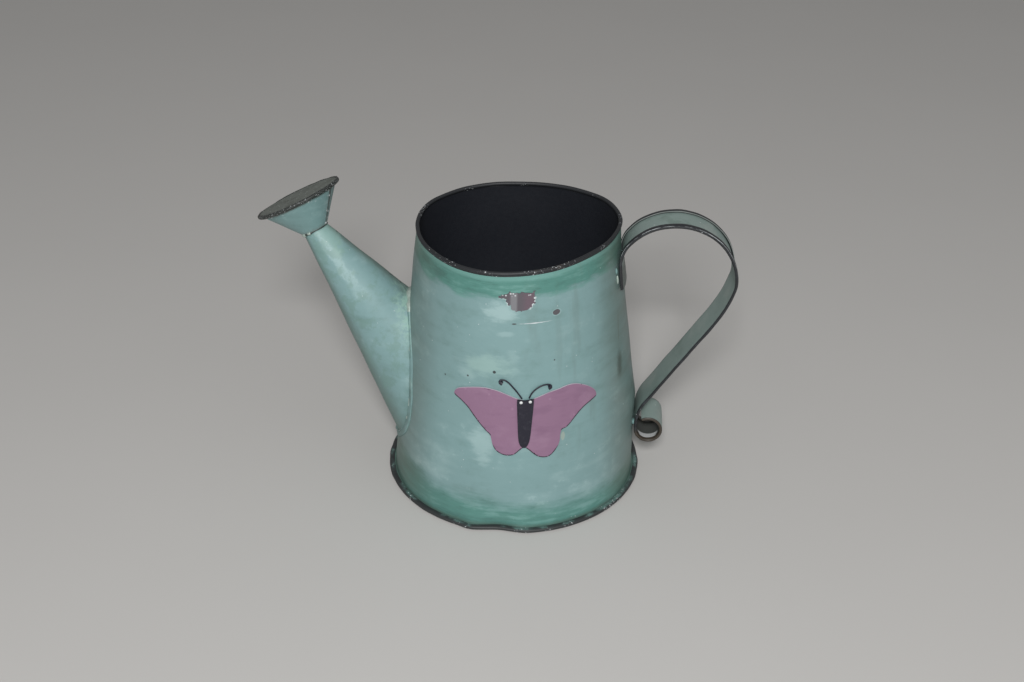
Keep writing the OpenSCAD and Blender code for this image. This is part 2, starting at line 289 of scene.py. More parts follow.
# Where the wall is worn: turn in degrees from the front, height in millimetres, and for
# all but the first two the half width and half height in millimetres
wear = {
    "chip": (6.7, 116), "scratch": (14.08, 105.9),
    "roundChip": (25.6, 109.2, 1.15, 0.85), "scratchStart": (3.2, 106, 1.5, 0.55),
    "smudge": (69.5, 69, 3.4, 9), "drip": (72, 88, 0.5, 9), "flecks": (-17, 30, 7, 12),
    "creamSpot": (28, 47.5, 1.1, 2.3), "greenPatch": (-9, 84, 14, 9),
    # Turn, height and radius
    "specks": [(-6.2, 82.2, 0.8), (-33.3, 74.8, 0.5), (24.2, 86.3, 0.45), (-19.9, 78.1, 0.5)],
    # Pale patches: turn, height, half width, half height and strength
    "dabs": [(-9, 84.5, 13, 6, 0.5), (-20, 79.5, 5, 3.5, 0.5), (-11.8, 45.5, 6, 9.5, 0.8),
             (-4, 111.6, 8, 4.8, 1.0), (-1, 101, 4, 1.6, 0.5), (3, 90, 3, 5, 0.35)],
}


def streaked(paint, tone, pale, deep, size=30):
    # Paint laid on by hand: broad patches, blotches and level brush strokes
    patches = paint.grain(size, 3, 0.6)
    strokes = paint.grain(size, 4, 0.65, stretch=(0.35, 0.35, 4), shift=5)
    blotch = paint.grain(size * 0.3, 5, 0.75, stretch=(0.8, 0.8, 1.2), shift=27)
    light = paint.step(patches * 0.5 + strokes * 0.25 + blotch * 0.25, 0.5, 0.66)
    dark = paint.step(patches * 0.4 + strokes * 0.3 + blotch * 0.3, 0.5, 0.34)
    spots = paint.step(blotch, 0.56, 0.66) * paint.step(patches, 0.46, 0.6)
    return paint.layers(tone, (light * 0.5, pale), (dark * 0.55, deep), (spots * 0.3, pale)), strokes


def bodyPaint():
    p = Paint("bodyPaint")
    radius = nominal(p.z)
    arc = p.x.work("ARCTAN2", p.y * -1) * radius
    # -1 at the spout's side, 0 in front and behind, 1 at the handle's side
    sideways = p.x / radius
    # The height that a place would have without the mouth's lean
    level = p.z - p.x * math.tan(math.radians(body["tilt"])) * (p.z / body["rimHeight"]) ** 3
    colour, strokes = streaked(p, tones["body"], tones["bodyPale"], tones["bodyDeep"])
    fine = p.grain(3.5, 4, 0.7)
    ragged = p.grain(1.6, 3, 0.6, shift=9)
    long = p.grain(16, 3, 0.6, stretch=(0.3, 0.3, 2.6), shift=2)
    thin = p.grain(14, 4, 0.65, stretch=(0.3, 0.3, 7), shift=7)
    slow = p.grain(45, 2, 0.5, shift=12)

    # Darker green brushed on below the rim and above the base
    blot = p.grain(8, 4, 0.65, stretch=(0.5, 0.5, 1.6), shift=41)
    brushed = blot * 0.6 + thin * 0.4
    top = p.step(level + blot * 12 - 6 + slow * 4 - 2 + thin * 3 - 1.5, 115.8, 119.6)
    foot = level + blot * 14 - 7 + slow * 8 - 4 + thin * 4 - 2 - p.y * 0.08 - 5 + sideways * 3
    foot = p.step(foot, 18, 7)
    topTone = p.layers(tones["band"], (p.step(brushed, 0.5, 0.64) * 0.8, tones["bandPale"]),
                       (p.step(brushed, 0.5, 0.38) * 0.7, tones["bandDeep"]),
                       (p.step(level + thin * 2, 126, 128.4) * 0.7, tones["bandPale"]))
    # The foot band; its last coat is painted shade towards the spout's side
    footTone = p.layers(tones["band"], (p.step(brushed, 0.5, 0.62) * 0.7, tones["bandPale"]),
                        (p.step(brushed, 0.5, 0.36) * 0.6, tones["bandDeep"]),
                        (p.step(sideways, -0.3, -0.8) * 0.5, tones["bandDeep"]))

    def offset(turn, height):
        # How far round the wall and up it a place lies from a spot, in millimetres
        return arc - math.radians(turn) * nominal(height), level - height

    def away(turn, height, wide=1, tall=1):
        # The distance from a spot, as a share of its half width and half height
        across, along = offset(turn, height)
        across, along = across / wide, along / tall
        return (across * across + along * along) ** 0.5

    # The large chip: level at the top, rounded below, with a point at its top left
    jag = ragged * 1.6 - 0.8 + fine * 1.4 - 0.7
    notch = p.grain(3, 3, 0.65, shift=44)
    chipTurn, chipHeight = wear["chip"]
    side, rise = offset(chipTurn, chipHeight)
    flake = p.higher(away(chipTurn, chipHeight + 2.4, 6, 7) * 5 - 5, rise - 4.6)
    point = p.higher((rise - side * 0.1 - 3.7).work("ABSOLUTE") - (side + 9.6) * 0.32, side + 3)
    edge = p.lower(flake, point) + notch * 4.4 - 2.2 + jag * 0.5
    chip = p.step(edge, 0.12, -0.12)
    lip = p.step(edge, 0.7, 0.3) * p.step(notch, 0.4, 0.55) * p.step(rise + fine, 3.2, 2.2)
    lip = lip * p.step((side + 1.5).work("ABSOLUTE") + rise * 0.5 + fine * 2, 3.8, 5.2)
    dots = p.step(p.cells(1.5, 6), 0.32, 0.2) * p.step(rise, 2.6, 3.6) * chip
    barePatch = p.layers(tones["bare"],
                         (p.step((side + 3.2).work("ABSOLUTE"), 2.0, 0.8), tones["bareLight"]),
                         (p.step(side + fine * 3, 1, 4.5) * 0.5, shade(112, 88, 100)))

    ring = away(*wear["roundChip"]) + jag * 0.3
    hole, holeLip = p.step(ring, 1.6, 1.35), p.step(ring, 2.3, 1.7)
    # The scratch is long and level, and thins out towards both ends
    run, drop = offset(*wear["scratch"])
    reach = run.work("ABSOLUTE")
    scratch = (drop + run * 0.02).work("ABSOLUTE") + fine * 0.5 + reach * 0.045
    scratch = p.step(scratch, 0.68, 0.38) * p.step(reach, 8.4, 7.2)
    scratchDark = p.step(away(*wear["scratchStart"]) + fine * 0.4, 1.0, 0.7)
    speck = p.higher(*[p.step(away(at, height) + fine * 0.4, size + 0.25, size)
                       for at, height, size in wear["specks"]])
    smudge = p.step(away(*wear["smudge"]) + fine * 0.8, 1.5, 0.6)
    drip = p.step(away(*wear["drip"]) + fine * 0.3, 1.2, 0.8)

    # Pale strokes, mostly on the left half of the front
    chalky = p.grain(9, 4, 0.7, stretch=(0.6, 0.6, 1.3), shift=15)
    dabs = p.higher(*[p.step(away(*patch) + chalky * 2.4 - 1.2 + long * 0.8 - 0.4, 1.2, 0.4)
                      * strength for *patch, strength in wear["dabs"]])
    runs = p.grain(11, 3, 0.6, stretch=(1.7, 1.7, 0.22), shift=33)
    runs = p.step(runs, 0.5, 0.68) * p.step(sideways, 0.2, 0.6) * p.step(level, 20, 60)
    flecks = p.step(p.grain(5, 4, 0.7, stretch=(1.6, 1.6, 0.5), shift=23), 0.66, 0.72)
    flecks = flecks * p.step(away(*wear["flecks"]), 1.2, 0.6)
    cream = p.step(away(*wear["creamSpot"]) + fine * 0.6 - 0.3, 1.1, 0.8)
    # Painted shade, darkening the wall towards its left and right sides
    left = p.step(sideways, -0.56, -0.93)
    right = p.step(sideways, 0.72, 0.985)
    # Darker towards the bottom, with grime patches and runs, and the painted side shade
    grimeAndShade = p.higher(p.step(p.z + fine * 2, 4.6, 2.6) * 0.45,
                     p.step(p.grain(22, 4, 0.6, stretch=(1, 1, 0.4), shift=20), 0.62, 0.8) * 0.25,
                     left * (long * 0.5 + 0.2), right * (long * 0.5 + 0.25), runs * 0.16)
    white = p.step(p.cells(2.6, 3), 0.13, 0.06) * p.step(p.grain(12, 2, 0.5, shift=31), 0.58, 0.64)

    colour = p.layers(
        colour, (dabs * 0.8, tones["bodyPale"]),
        (p.step(away(*wear["greenPatch"]), 1.1, 0.5) * dabs * 0.6, tones["leaf"]),
        (top * 0.88, topTone), (foot * 0.8, footTone),
        (grimeAndShade, tones["grimeAndShade"]), (smudge * 0.7, shade(66, 74, 66)), (drip * 0.45, tones["grimeAndShade"]),
        (flecks * 0.5, tones["chalk"]), (cream * 0.7, shade(160, 172, 160)),
        (white * 0.5, tones["chalk"]), (holeLip * 0.35, tones["bodyPale"]),
        (lip * 0.85, tones["chalk"]), (chip, barePatch), (dots * 0.7, tones["chalk"]),
        (hole, shade(88, 86, 90)), (scratch * 0.8, tones["chalk"]),
        (scratchDark, shade(78, 84, 84)), (speck, shade(60, 66, 66)))
    height = strokes * 0.35 + fine * 0.16 + thin * 0.2 - chip * 1.2 - hole * 1.2
    height = height - scratch * 0.3 + lip * 0.2 + dabs * 0.25
    rough = strokes * 0.2 + 0.34 + chip * 0.1
    return p.finish(colour, rough, height, 0.16)


def enamel(name, tone, chips, size, ledge=None):
    # Dark brushed enamel with pale chips, about size wide, where it was knocked
    p = Paint(name)
    fine = p.grain(1.4, 4, 0.7)
    broad = p.grain(14, 3, 0.6, shift=4)
    worn = p.step(broad + fine * 0.5, 0.88, 1.0)
    spots = p.step(p.cells(size, 8) + fine * 0.14, 0.24, 0.15)
    flakes = p.step(p.grain(size * 0.7, 3, 0.8, shift=22), 0.6, 0.66)
    spots = p.higher(spots, flakes) * p.step(broad + fine * 0.2, chips, chips + 0.04)
    colour = p.layers(tone, (worn * 0.6, tones["blackBrown"]))
    if ledge:
        # The top of the seam keeps the wall's green, rubbed through here and there
        seen = p.step(p.z + fine * 0.7, ledge, ledge + 0.3) * p.step(broad, 0.44, 0.6)
        colour = p.layers(colour, (seen * 0.85, shade(98, 130, 124)))
    colour = p.layers(colour, (spots, tones["chalk"]))
    return p.finish(colour, fine * 0.2 + 0.45, fine * 0.3 - spots, 0.12)


def insidePaint():
    p = Paint("insidePaint")
    soft = p.grain(20, 4, 0.6)
    fine = p.grain(2, 3, 0.6)
    dots = p.step(p.cells(9, 2), 0.05, 0.03) * p.step(soft, 0.5, 0.6)
    colour = p.layers(tones["inside"], (soft * 0.35, shade(24, 25, 30)), (dots * 0.4, tones["olive"]))
    return p.finish(colour, fine * 0.2 + 0.5, fine, 0.06)


def spoutPaint():
    p = Paint("spoutPaint")
    # lay: the angle round the spout, 0 in front and 90 on top, the length from its tip,
    # and the distance to its foot
    angle, along, gap = p.lay()
    colour, strokes = streaked(p, tones["body"], tones["bodyPale"], tones["bodyDeep"], 22)
    fine = p.grain(3, 4, 0.7)
    long = p.grain(9, 4, 0.6, shift=6)
    blot = p.grain(7, 4, 0.7, shift=18)
    # Painted highlights along the spout's lit middle: a long one and a shorter second one
    middle = (angle - 24 + along * 0.14).work("ABSOLUTE") * 0.05 + long * 2 - 1 + blot * 3 - 1.5
    litStreak = p.step(middle, 0.9, 0.3) * p.step(along + long * 30, 78, 62)
    secondLitStreak = p.step((angle - 48).work("ABSOLUTE") * 0.05 + long * 2 - 1 + blot * 3 - 1.5, 0.9, 0.3)
    secondLitStreak = secondLitStreak * p.step((along - 88).work("ABSOLUTE"), 20, 8)
    # The wear and the painted edge shade fade out round the back, where the angle starts again
    seen = p.step(angle.work("ABSOLUTE"), 172, 118)
    # Painted shade towards the cone's upper and lower edges
    upper = p.step(angle + blot * 70 - 35, 72, 104) * seen
    lower = p.step(angle * -1 + blot * 50 - 25, 24, 52) * seen
    bubbly = p.step(angle + blot * 70 - 35, 10, 50) * p.step(gap + blot * 24 - 12, 11, 3)
    bubbly = bubbly * p.step(fine, 0.4, 0.54) * seen
    white = p.step(p.cells(2.4, 5), 0.12, 0.05) * p.step(p.grain(10, 2, 0.5, shift=14), 0.59, 0.64)
    chips = p.step(p.cells(4, 1) + fine * 0.1, 0.22, 0.16) * p.step(angle, 92, 98) * seen
    collar = p.step(along + blot * 30 - 15, 40, 32) * p.step(angle + long * 40 - 20, 10, 46) * seen
    # Painted shade on the underside, where the spout meets the wall
    foot = p.step(gap + long * 6, 8, 4) * p.step(angle, 20, -20) * 0.4
    colour = p.layers(colour, (litStreak * 0.6, tones["bodyPale"]), (secondLitStreak * 0.4, tones["bodyPale"]),
                      (p.step(blot, 0.52, 0.4) * 0.4, shade(108, 140, 128)),
                      (upper * 0.6, shade(96, 112, 100)), (lower * 0.5, shade(96, 116, 106)),
                      (collar * 0.4, tones["leaf"]), (bubbly * 0.85, tones["leaf"]),
                      (foot, tones["bodyDeep"]), (white * 0.6, tones["chalk"]),
                      (chips * 0.8, tones["blackBrown"]))
    return p.finish(colour, strokes * 0.2 + 0.46, strokes * 0.4 + blot + fine * 0.2 - chips, 0.16)


def rosePaint():
    p = Paint("rosePaint")
    # lay: the angle from the lapped seam, and the height over the neck
    angle, along, _ = p.lay()
    turned, rim = angle.work("ABSOLUTE"), rose["depth"]
    colour, strokes = streaked(p, shade(120, 152, 152), shade(152, 182, 181), shade(94, 124, 119), 14)
    fine = p.grain(2, 4, 0.7)
    seam = p.step(turned + fine * 5 - 2.5, 3.5, 1.5)
    upper = p.step(along + fine * 2, rim - 1.7, rim - 0.7)
    low = p.step(along + fine * 2.5, 3.0, 1.2)
    white = p.step(p.cells(2, 7) + fine * 0.2, 0.42, 0.28)
    white = white * p.higher(p.step(along + fine * 6, rim - 1, rim + 1.5),
                             p.step(turned + fine * 8, 12, 6))
    colour = p.layers(colour, (seam * 0.75, tones["blackBrown"]), (upper * 0.7, tones["olive"]),
                      (low * 0.5, tones["olive"]), (white * 0.8, tones["chalk"]))
    return p.finish(colour, strokes * 0.2 + 0.36, strokes * 0.4 + fine * 0.2, 0.14)


def facePaint():
    p = Paint("facePaint")
    broad, fine = p.grain(9, 4, 0.65), p.grain(1.5, 4, 0.7, shift=3)
    dust = p.step(p.cells(1.8, 2) + fine * 0.1, 0.2, 0.1) * p.step(broad, 0.5, 0.6)
    colour = p.layers(tones["olive"], (p.step(broad, 0.45, 0.65) * 0.7, tones["oliveDeep"]),
                      (p.step(fine, 0.55, 0.75) * 0.4, shade(126, 132, 126)),
                      (dust * 0.7, tones["chalk"]))
    return p.finish(colour, fine * 0.25 + 0.45, fine * 0.4 + dust, 0.12)


def handlePaint():
    p = Paint("handlePaint")
    # lay: the place across the strip, along it, and through its thickness
    across, along, lift = p.lay()
    edge, free = handle["width"] / 2, handle["width"] / 2 - handle["hemWidth"]
    fine = p.grain(2.2, 4, 0.7)
    broad = p.grain(16, 3, 0.6, shift=3)
    reach = across.work("ABSOLUTE")
    colour = p.layers(tones["handle"], (p.step(broad, 0.5, 0.7) * 0.6, tones["handlePale"]),
                      (p.step(broad + fine * 0.2, 0.56, 0.4) * 0.7, tones["handleDeep"]))
    # The folded edges are blackened, with a pale line where the fold ends
    hem = p.higher(p.step(lift, 0.3, 0.5) * p.step(reach, free - 0.3, free),
                   p.step(reach + fine * 0.6, edge - 0.6, edge - 0.3))
    fold = (reach + fine * 0.4 - free - 0.2).work("ABSOLUTE")
    fold = p.step(fold, 0.32, 0.15) * p.step(lift, 0.9, 1.1)
    glint = (reach - edge + 0.35).work("ABSOLUTE") + fine * 0.5
    glint = p.step(glint, 0.42, 0.26) * p.step(lift, 0.7, 0.9)
    # The scroll has painted shade inside, and a painted highlight on its lower near edge
    scroll = p.step(along + fine * 4, handle["scroll"] - 2, handle["scroll"] + 2)
    ring = scroll * p.step(lift, -0.1, 0.1)
    scrollHighlight = p.step((along - handle["scroll"] - 7).work("ABSOLUTE") + fine * 2, 7.5, 5.5)
    scrollHighlight = scrollHighlight * p.step(across, -2.6, -3.4) * p.step(lift, 0, 0.2)
    scrollHighlight = scrollHighlight * p.step(reach, free + 1.1, free + 0.8)
    # Browner along the scroll's cut edges and hem tops
    scrollBrown = p.higher(p.step(reach, edge - 0.6, edge - 0.4),
                     p.step(reach, free + 0.8, free + 1.1) * p.step(lift, 0.8, 1.0)) * scroll
    tab = p.step(along + fine * 3, handle["tab"] + 2, handle["tab"] - 2)
    # Patches of painted blue-grey sheen on the blackened hems
    blue = p.step(p.grain(5, 3, 0.6, shift=17), 0.5, 0.75)
    white = p.step(p.cells(3, 11), 0.12, 0.06) * p.step(p.grain(11, 2, 0.5, shift=8), 0.55, 0.62)
    dark = p.layers(tones["black"], (blue * 0.4, shade(76, 82, 88)),
                    (p.step(fine, 0.6, 0.75) * 0.4, tones["blackBrown"]))
    colour = p.layers(colour, (tab * 0.7, tones["soot"]), (hem, dark),
                      (fold * 0.6, tones["handlePale"]),
                      (glint * p.step(broad + fine * 0.5, 0.68, 0.8) * 0.8, tones["chalk"]),
                      (ring * 0.9, shade(54, 52, 49)), (scrollBrown * 0.85, shade(66, 58, 49)),
                      (scrollHighlight, shade(190, 192, 192)), (white * 0.7, tones["chalk"]))
    return p.finish(colour, fine * 0.2 + 0.38, fine * 0.4 + hem * 0.4, 0.12)


def wingPaint(name, rim=None):
    p = Paint(name)
    broad, fine = p.grain(15, 4, 0.6), p.grain(2, 4, 0.7, shift=5)
    strokes = p.grain(16, 3, 0.6, stretch=(0.6, 1, 2), shift=2)
    pits = p.step(p.cells(6, 4) + fine * 0.1, 0.2, 0.1)
    # lay: how much of a lower and of an upper edge a place is, for a painted shadow along lower edges
    # and a painted highlight along upper ones
    shadedEdge, litEdge, _ = p.lay()
    colour = p.layers(tones["mauve"], (p.step(broad, 0.5, 0.7) * 0.4, tones["mauvePale"]),
                      (p.step(strokes, 0.5, 0.32) * 0.5, tones["mauveDeep"]),
                      (pits * 0.5, tones["mauvePale"]),
                      (p.step(shadedEdge + fine * 0.5, 0.35, 0.65) * 0.95, shade(42, 36, 46)),
                      (p.step(litEdge + fine * 0.6, 0.8, 1.1) * 0.3, shade(186, 172, 186)))
    if rim:
        # The cut edge gets painted light: pale as a highlight where it faces up, dark as shade on the
        # rest
        strength, tone = rim
        colour = p.layers(colour, (p.step(fine, 0.2, 0.5) * strength, tone))
    return p.finish(colour, fine * 0.2 + 0.42, broad * 1.2 + fine * 0.3 + strokes * 0.4, 0.12)


def insectPaint():
    p = Paint("insectPaint")
    fine = p.grain(1.8, 4, 0.7)
    colour = p.layers(tones["insect"], (p.step(fine, 0.5, 0.8) * 0.4, shade(72, 72, 80)))
    return p.finish(colour, fine * 0.25 + 0.35, fine, 0.08)


def eyePaint():
    p = Paint("eyePaint")
    fine = p.grain(0.6, 2, 0.5)
    return p.finish(p.layers(shade(226, 228, 228), (fine * 0.3, shade(190, 194, 198))), 0.35)


def solderMetal():
    p = Paint("solderMetal")
    # lay: how bare the solder is, and how sooty the paint over the rest of it
    bare, soot, _ = p.lay()
    fine, broad = p.grain(1.2, 4, 0.7), p.grain(5, 3, 0.6, shift=6)
    metal = p.layers(tones["solder"], (p.step(fine, 0.5, 0.7) * 0.5, tones["cream"]),
                     (p.step(broad, 0.5, 0.7) * 0.5, tones["solderDark"]))
    painted = p.layers(tones["bodyDeep"], (p.step(broad, 0.45, 0.6) * 0.6, tones["body"]),
                       (soot, tones["soot"]))
    shown = p.step(bare + fine * 0.5 - 0.25, 0.4, 0.6)
    return p.finish(p.mix(shown, painted, metal), fine * 0.25 + 0.32, fine * 0.6, 0.15,
                    metallic=shown * 0.3)


paints = {"body": bodyPaint(), "inside": insidePaint(),
          "rim": enamel("rimEnamel", tones["black"], 0.63, 1.7),
          "seam": enamel("seamEnamel", shade(46, 49, 50), 0.61, 1.7, 2.1),
          "lip": enamel("lipEnamel", shade(44, 48, 46), 0.36, 1.0),
          "spout": spoutPaint(), "face": facePaint(), "wing": wingPaint("wingPaint"),
          "wingHighlight": wingPaint("wingEdgeHighlight", (0.5, tones["chalk"])),
          "wingShade": wingPaint("wingEdgeShade", (0.9, tones["insect"])), "insect": insectPaint(),
          "eye": eyePaint(), "solder": solderMetal()}
print("materials:", len(paints))


def wallShift(turn, height):
    # How far the dents, the lobes and the bulge move the wall outwards
    share = min(max(height / body["rimHeight"], 0), 1)
    lobes = math.cos(math.radians(body["lobes"] * (turn - body["lobeTurn"])))
    crest = nominal(body["bulgeHeight"]) + body["bulge"]
    if height < body["bulgeHeight"]:
        swell = max(crest - nominal(max(height, 0)), 0)
    else:
        span = body["bulgeTop"] - body["bulgeHeight"]
        swell = body["bulge"] * max(1 - (height - body["bulgeHeight"]) / span, 0)
    side = math.exp(-(wrapped(turn - 90) / body["bulgeWidth"]) ** 2)
    dent = ease(1 - abs(wrapped(turn - body["dentTurn"])) / body["dentWidth"])
    kink = math.exp(-(wrapped(turn - body["kinkTurn"]) / body["kinkWidth"]) ** 2)
    low = math.exp(-max(height, 0) / body["dentFade"])
    spot = Vector((math.sin(math.radians(turn)), math.cos(math.radians(turn)), height / 55))
    wave = ripple(spot, 0.45, 3) * body["waves"] * 2 * ease(height / 15)
    return (lobes * body["lobeDepth"] * share ** 1.6 + side * swell
            - dent * body["dent"] * low + kink * body["kink"] * low + wave)


def leaned(point):
    # Tilts what is near the mouth
    share = min(max(point.z / body["rimHeight"], 0), 1.2)
    rise = math.tan(math.radians(body["tilt"])) * point.x * share ** 3
    return Vector((point.x, point.y, point.z + rise))


def wallRadius(turn, height):
    return nominal(height) + wallShift(turn, height)


def onWall(turn, height, lift=0.0):
    r, a = wallRadius(turn, height) + lift, math.radians(turn)
    return leaned(Vector((r * math.sin(a), -r * math.cos(a), height)))


def followWall(bm, share=lambda r: 1, height=None):
    # Carries a round shape's corners along with the wall's dents and lobes
    for v in bm.verts:
        r = math.hypot(v.co.x, v.co.y)
        if r > 1e-6:
            tall = v.co.z if height is None else height
            k = 1 + wallShift(turnOf(v.co), tall) * share(r) / r
            v.co = Vector((v.co.x * k, v.co.y * k, v.co.z))
        v.co = leaned(v.co)


def makeBody():
    t, top = body["sheet"], body["rimHeight"]
    low, bead = body["flangeHeight"], body["beadRadius"]
    middle, reach = body["mouthRadius"] - t / 2, body["footRadius"] + body["flange"]
    rows = [low + t, 1.7, 2.5, 3.5, 5, 6.5, 8, 10] + [10 + 2.9 * k for k in range(1, 40)]
    rows = [z for z in rows if z < top - 3] + [top - 3, top - 2, top - 1.3]
    outline = [(nominal(z), z) for z in rows]
    for k in range(17):
        a = math.radians(body["beadStart"] + body["beadTurn"] * k / 16)
        outline.append((middle + bead * math.cos(a), top + bead * math.sin(a)))
    outline += [(nominal(z) - t, z) for z in reversed(rows)]
    outline += [(nominal(low) - t, low), (reach, low), (reach, low + t)]
    bm = lathe(outline, body["steps"], closed=True)
    for face in bm.faces:
        spot = face.calc_center_median()
        r = math.hypot(spot.x, spot.y)
        outside = r > nominal(spot.z) - t / 2
        face.material_index = 1 if spot.z > top - 1.25 else 0 if outside else 2
    for v in bm.verts:
        # The rolled rim is a little uneven
        if v.co.z > top - 1.2:
            v.co += body["beadWaves"] * ripple(v.co, 9, 2) * Vector((v.co.x / 46, v.co.y / 46, 0.6))
    followWall(bm)
    addPiece("bodyShell", bm, [paints["body"], paints["rim"], paints["inside"]],
             ("body_wall", "rim_wire"), sharp=50)


base = {
    # Radius and height: out along the underside, over the wall's flange and back inside
    "outline": [(0, 0), (20, 0), (40, 0), (52, 0), (60.7, 0), (61.3, 0.15), (61.75, 0.55),
                (61.9, 1.05), (61.75, 1.5), (61.35, 1.85), (60.8, 2.0), (60.0, 2.0),
                (59.45, 1.9), (59.4, 1.6), (60.3, 1.55), (61.1, 1.45), (61.45, 1.05),
                (61.1, 0.62), (60.6, 0.5), (52, 0.5), (40, 0.5), (20, 0.5), (0, 0.5)],
    "waves": 0.28, "still": 45,                    # the dents leave the middle flat
}


def makeBase():
    bm = lathe(base["outline"], body["steps"], closed=False)
    for face in bm.faces:
        spot = face.calc_center_median()
        inner = spot.z > 0.3 and math.hypot(spot.x, spot.y) < 58.5
        face.material_index = 1 if inner else 0
    for v in bm.verts:
        r = math.hypot(v.co.x, v.co.y)
        if r > 58 and v.co.z > 0.1:
            push = base["waves"] * ripple(v.co, 7, 5)
            v.co += Vector((v.co.x / r, v.co.y / r, 0.35)) * push * min(v.co.z, 1)
    followWall(bm, lambda r: ease((r - base["still"]) / 12), height=1)
    for v in bm.verts:
        v.co.z = max(v.co.z, 0)
    addPiece("baseSeam", bm, [paints["seam"], paints["inside"]],
             ("base_plate",), sharp=60)


makeBody()
makeBase()


# Spout
spout = {
    "reach": 107.6, "tipHeight": 143.1, "rise": 55, "side": 13, "cut": 24.5, "sheet": 0.5,
    "flange": 3.2, "lap": 0.45, "lapWidth": 16, "waves": 0.35, "around": 120, "rows": 44,
    "flangeSteps": [(0.25, 0.7), (0.8, 0.42), (1, 0.34)],   # share of the flange, and lift
}
rose = {
    "rise": 61.4, "turn": 21.9, "radius": 20.6, "neckRadius": 6.3, "endRadius": 18.7,
    "depth": 16.7, "sheet": 0.5, "holeRadius": 0.6, "pitch": 5, "rings": 3,
    "lap": 0.5, "lapTurn": 6, "lapWidth": 14, "around": 144,
    # The folded rim, from the face's radius and the rose's depth
    "rim": [(-1.4, -0.4), (-1.4, 0.05), (-1.1, 0.25), (-0.6, 0.25), (-0.2, 0.05), (0, -0.4),
            (0, -0.9), (-0.25, -1.35), (-0.7, -1.6), (-1.4, -1.6), (-1.7, -1.4),
            (-1.7, -1.15), (-0.7, -1.1), (-0.6, -0.6)],
    # Blobs of solder at the neck: angle, width and size
    "blobs": [(248, 12, 0.9), (280, 9, 0.6), (60, 20, 0.7), (150, 16, 0.8)],
}
tip = Vector((-spout["reach"], 0, spout["tipHeight"]))
rise = math.radians(spout["rise"])
spoutAxis = Vector((math.cos(rise), 0, -math.sin(rise)))
spoutUp = Vector((math.sin(rise), 0, math.cos(rise)))
spoutFront = Vector((0, -1, 0))
neckSpot = tip + spoutAxis * spout["cut"]
roseTilt = Matrix.Rotation(math.radians(rose["rise"] - 90), 4, "Y")
roseFrame = (Matrix.Translation(neckSpot)
             @ Matrix.Rotation(math.radians(-rose["turn"]), 4, "Z") @ roseTilt)
roseAxis = (roseFrame.to_3x3() @ up).normalized()
paints["rose"] = rosePaint()


def spoutOut(i):
    # The way out from the axis: the lap seam, at i = 0, is underneath
    a = math.radians(360 * i / spout["around"] - 90)
    return spoutFront * math.cos(a) + spoutUp * math.sin(a)


def spoutLine(i):
    side = math.radians(spout["side"])
    return spoutAxis * math.cos(side) + spoutOut(i) * math.sin(side)


def footLength(i):
    # Length along the cone's side from its tip to the wall
    near, deep = 20.0, 150.0
    for _ in range(30):
        middle = (near + deep) / 2
        spot = tip + spoutLine(i) * middle
        outside = math.hypot(spot.x, spot.y) > wallRadius(turnOf(spot), spot.z)
        near, deep = (middle, deep) if outside else (near, middle)
    return near


footLengths = [footLength(i) for i in range(spout["around"])]
footSpots = [tip + spoutLine(i) * footLengths[i] for i in range(spout["around"])]


def footStep(i, distance, lift):
    # A point on the wall, a distance out from the spout's foot
    n = spout["around"]
    before, here, after = footSpots[(i - 1) % n], footSpots[i % n], footSpots[(i + 1) % n]
    r = math.hypot(here.x, here.y)
    dx = math.radians(wrapped(turnOf(after) - turnOf(before))) * r
    dz = after.z - before.z
    out = distance / math.hypot(dx, dz)
    return onWall(turnOf(here) + math.degrees(out * dz / r), here.z - out * dx, lift)


def offAxis(spot):
    # The way from the spout's axis to a point
    arm = spot - tip
    return arm - spoutAxis * arm.dot(spoutAxis)


def makeSpout():
    n, rows = spout["around"], spout["rows"]
    flange = rows - 4                              # from this row on it lies on the wall

    def place(i, j):
        line = spoutLine(i)
        neck = (neckSpot - tip).dot(roseAxis) / line.dot(roseAxis)
        t = min(j / flange, 1)
        spot = tip + line * (neck + (footLengths[i] - neck) * t)
        behind = 1 - i / n * 360 / spout["lapWidth"]
        lap = spout["lap"] * max(behind, 0) * ease((1 - t) * 12)
        push = lap + spout["waves"] * ripple(spot, 17, 6) * ease(t * 6) * ease((1 - t) * 6)
        spot = spot + spoutOut(i) * push
        if j > flange:
            # The edge turns out into a flange, broadest underneath
            share = 0.35 + 0.65 * ease(0.8 + 0.5 * math.cos(math.tau * i / n))
            broad = spout["flange"] * share * (1 + 0.2 * ripple(spot, 8, 1))
            step, lift = spout["flangeSteps"][j - flange - 1]
            spot = footStep(i, broad * step, lift)
        return spot

    bm = loft(n, rows, place, capped=False)
    bm.faces.ensure_lookup_table()
    if bm.faces[0].normal.dot(offAxis(bm.faces[0].calc_center_median())) < 0:
        bmesh.ops.reverse_faces(bm, faces=bm.faces)
    lay = bm.verts.layers.float_vector.new("lay")
    for v in bm.verts:
        out = offAxis(v.co).normalized()
        angle = math.degrees(math.atan2(out.dot(spoutUp), out.dot(spoutFront)))
        v[lay] = Vector((angle, (v.co - tip).dot(spoutAxis),
                         min((v.co - spot).length for spot in footSpots[::4])))
    piece = addPiece("spoutCone", bm, [paints["spout"]], ("spout_cone",), 50)
    wall = piece.modifiers.new("sheet", "SOLIDIFY")
    wall.thickness, wall.offset = spout["sheet"] * mm, -1


def bead(name, count, along, size, bare, nodes, section=12):
    # An uneven ring of solder: along(j) gives its middle and two ways across, size(j) its
    # radius, and bare(j) how bare and how sooty it is
    def place(i, j):
        middle, a, b = along(j)
        turn = math.tau * i / section
        r = size(j) * (1 + 0.18 * ripple(middle + a * math.cos(turn), 1.6, 2))
        return middle + (a * math.cos(turn) + b * math.sin(turn)) * r

    bm = loft(section, count, place, lambda i, j: bare(j), capped=False, closed=True)
    addPiece(name, bm, [paints["solder"]], nodes, sharp=80)


